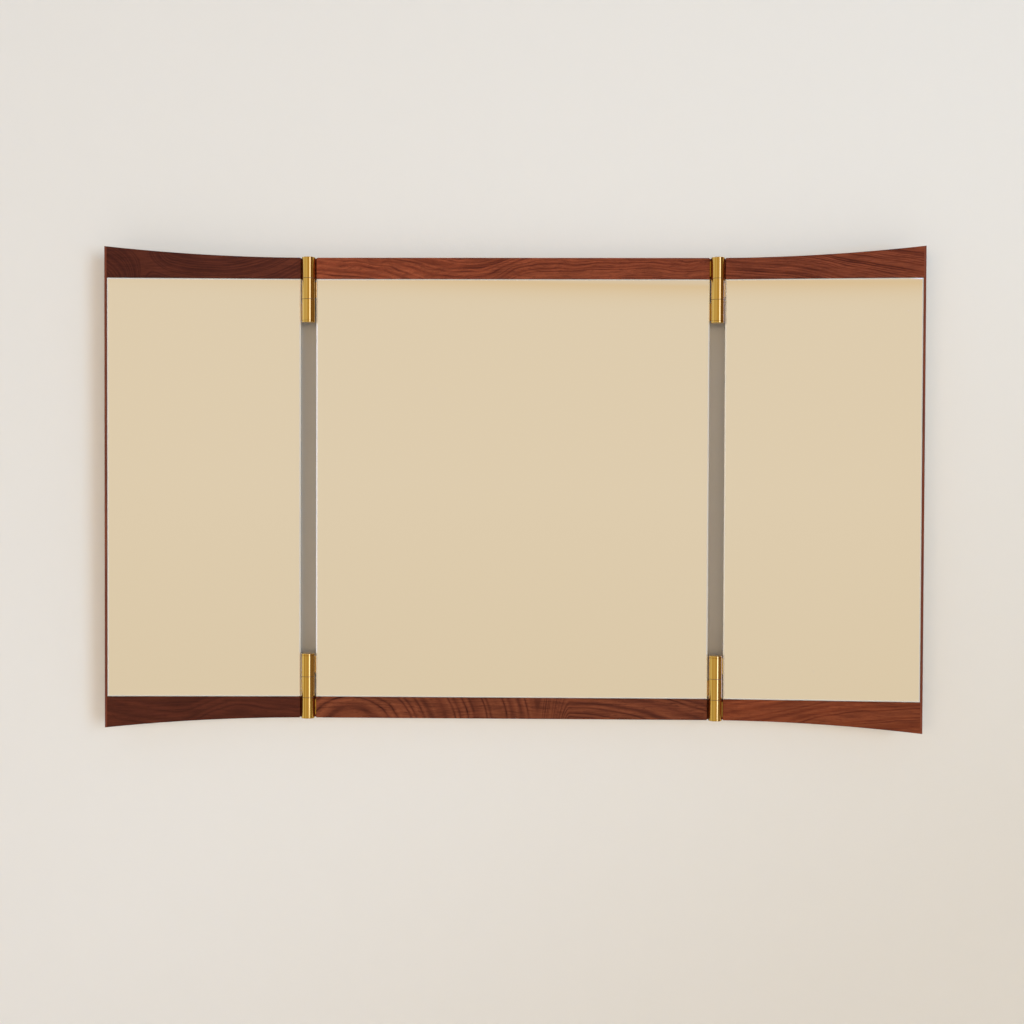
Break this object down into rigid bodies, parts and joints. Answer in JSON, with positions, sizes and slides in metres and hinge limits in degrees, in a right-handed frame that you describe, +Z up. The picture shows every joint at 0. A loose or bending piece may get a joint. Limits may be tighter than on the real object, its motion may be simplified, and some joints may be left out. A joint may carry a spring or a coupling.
{
  "type": "wall mirror",
  "caption": "Wall mirror with a fixed centre panel and hinged wings that fold forward over it, flared walnut rails, brass barrel hinges and a wall cleat.",
  "frame": {"origin": "on the wall plane, at the middle of the wall cleat's back face", "axes": "+X to the viewer's right along the mirror, +Y into the wall, +Z up; the mirror faces -Y"},
  "size_m": [1.1673, 0.0637, 0.689],
  "materials": {
    "walnut_rail": "oiled walnut, satin",
    "walnut_strip": "oiled walnut, satin",
    "mirror_glass": "silvered float glass, polished edges",
    "mirror_adhesive": "neutral-cure mirror adhesive",
    "plywood_board": "birch plywood, clear lacquer",
    "birch_cleat": "birch plywood, sanded",
    "bumper_rubber": "black rubber",
    "washer_nylon": "smoked nylon",
    "polished_brass": "polished lengthwise, unlacquered",
    "screw_brass": "bright",
    "screw_steel": "zinc plated"
  },
  "bodies": {
    "centre_panel": {"centre_top_rail": "walnut_rail", "centre_bottom_rail": "walnut_rail", "centre_backing_board": "plywood_board", "centre_mirror_glass": "mirror_glass", "centre_mirror_adhesive": "mirror_adhesive", "wall_cleat": "birch_cleat", "panel_cleat": "birch_cleat", "panel_cleat_screws": "screw_steel", "lower_batten": "birch_cleat", "lower_batten_screws": "screw_steel", "wall_bumpers": "bumper_rubber", "left_top_hinge_short_leaf": "polished_brass", "left_top_hinge_short_leaf_screws": "screw_brass", "left_bottom_hinge_long_leaf": "polished_brass", "left_bottom_hinge_pin": "polished_brass", "left_bottom_hinge_washers": "washer_nylon", "left_bottom_hinge_long_leaf_screws": "screw_brass", "right_top_hinge_long_leaf": "polished_brass", "right_top_hinge_pin": "polished_brass", "right_top_hinge_washers": "washer_nylon", "right_top_hinge_long_leaf_screws": "screw_brass", "right_bottom_hinge_short_leaf": "polished_brass", "right_bottom_hinge_short_leaf_screws": "screw_brass"},
    "left_wing": {"left_wing_top_rail": "walnut_rail", "left_wing_bottom_rail": "walnut_rail", "left_wing_end_strip": "walnut_strip", "left_wing_backing_board": "plywood_board", "left_wing_mirror_glass": "mirror_glass", "left_wing_mirror_adhesive": "mirror_adhesive", "left_top_hinge_long_leaf": "polished_brass", "left_top_hinge_pin": "polished_brass", "left_top_hinge_washers": "washer_nylon", "left_top_hinge_long_leaf_screws": "screw_brass", "left_bottom_hinge_short_leaf": "polished_brass", "left_bottom_hinge_short_leaf_screws": "screw_brass"},
    "right_wing": {"right_wing_top_rail": "walnut_rail", "right_wing_bottom_rail": "walnut_rail", "right_wing_end_strip": "walnut_strip", "right_wing_backing_board": "plywood_board", "right_wing_mirror_glass": "mirror_glass", "right_wing_mirror_adhesive": "mirror_adhesive", "right_top_hinge_short_leaf": "polished_brass", "right_top_hinge_short_leaf_screws": "screw_brass", "right_bottom_hinge_long_leaf": "polished_brass", "right_bottom_hinge_pin": "polished_brass", "right_bottom_hinge_washers": "washer_nylon", "right_bottom_hinge_long_leaf_screws": "screw_brass"}
  },
  "joints": [
    {"name": "left_wing_hinge", "type": "hinge", "parent": "centre_panel", "child": "left_wing", "pos_m": [-0.292, -0.046, -0.175], "axis": [0, 0, 1], "range_deg": [-6.3, 177.7]},
    {"name": "right_wing_hinge", "type": "hinge", "parent": "centre_panel", "child": "right_wing", "pos_m": [0.292, -0.046, -0.175], "axis": [0, 0, -1], "range_deg": [-7.8, 176.2]}
  ]
}
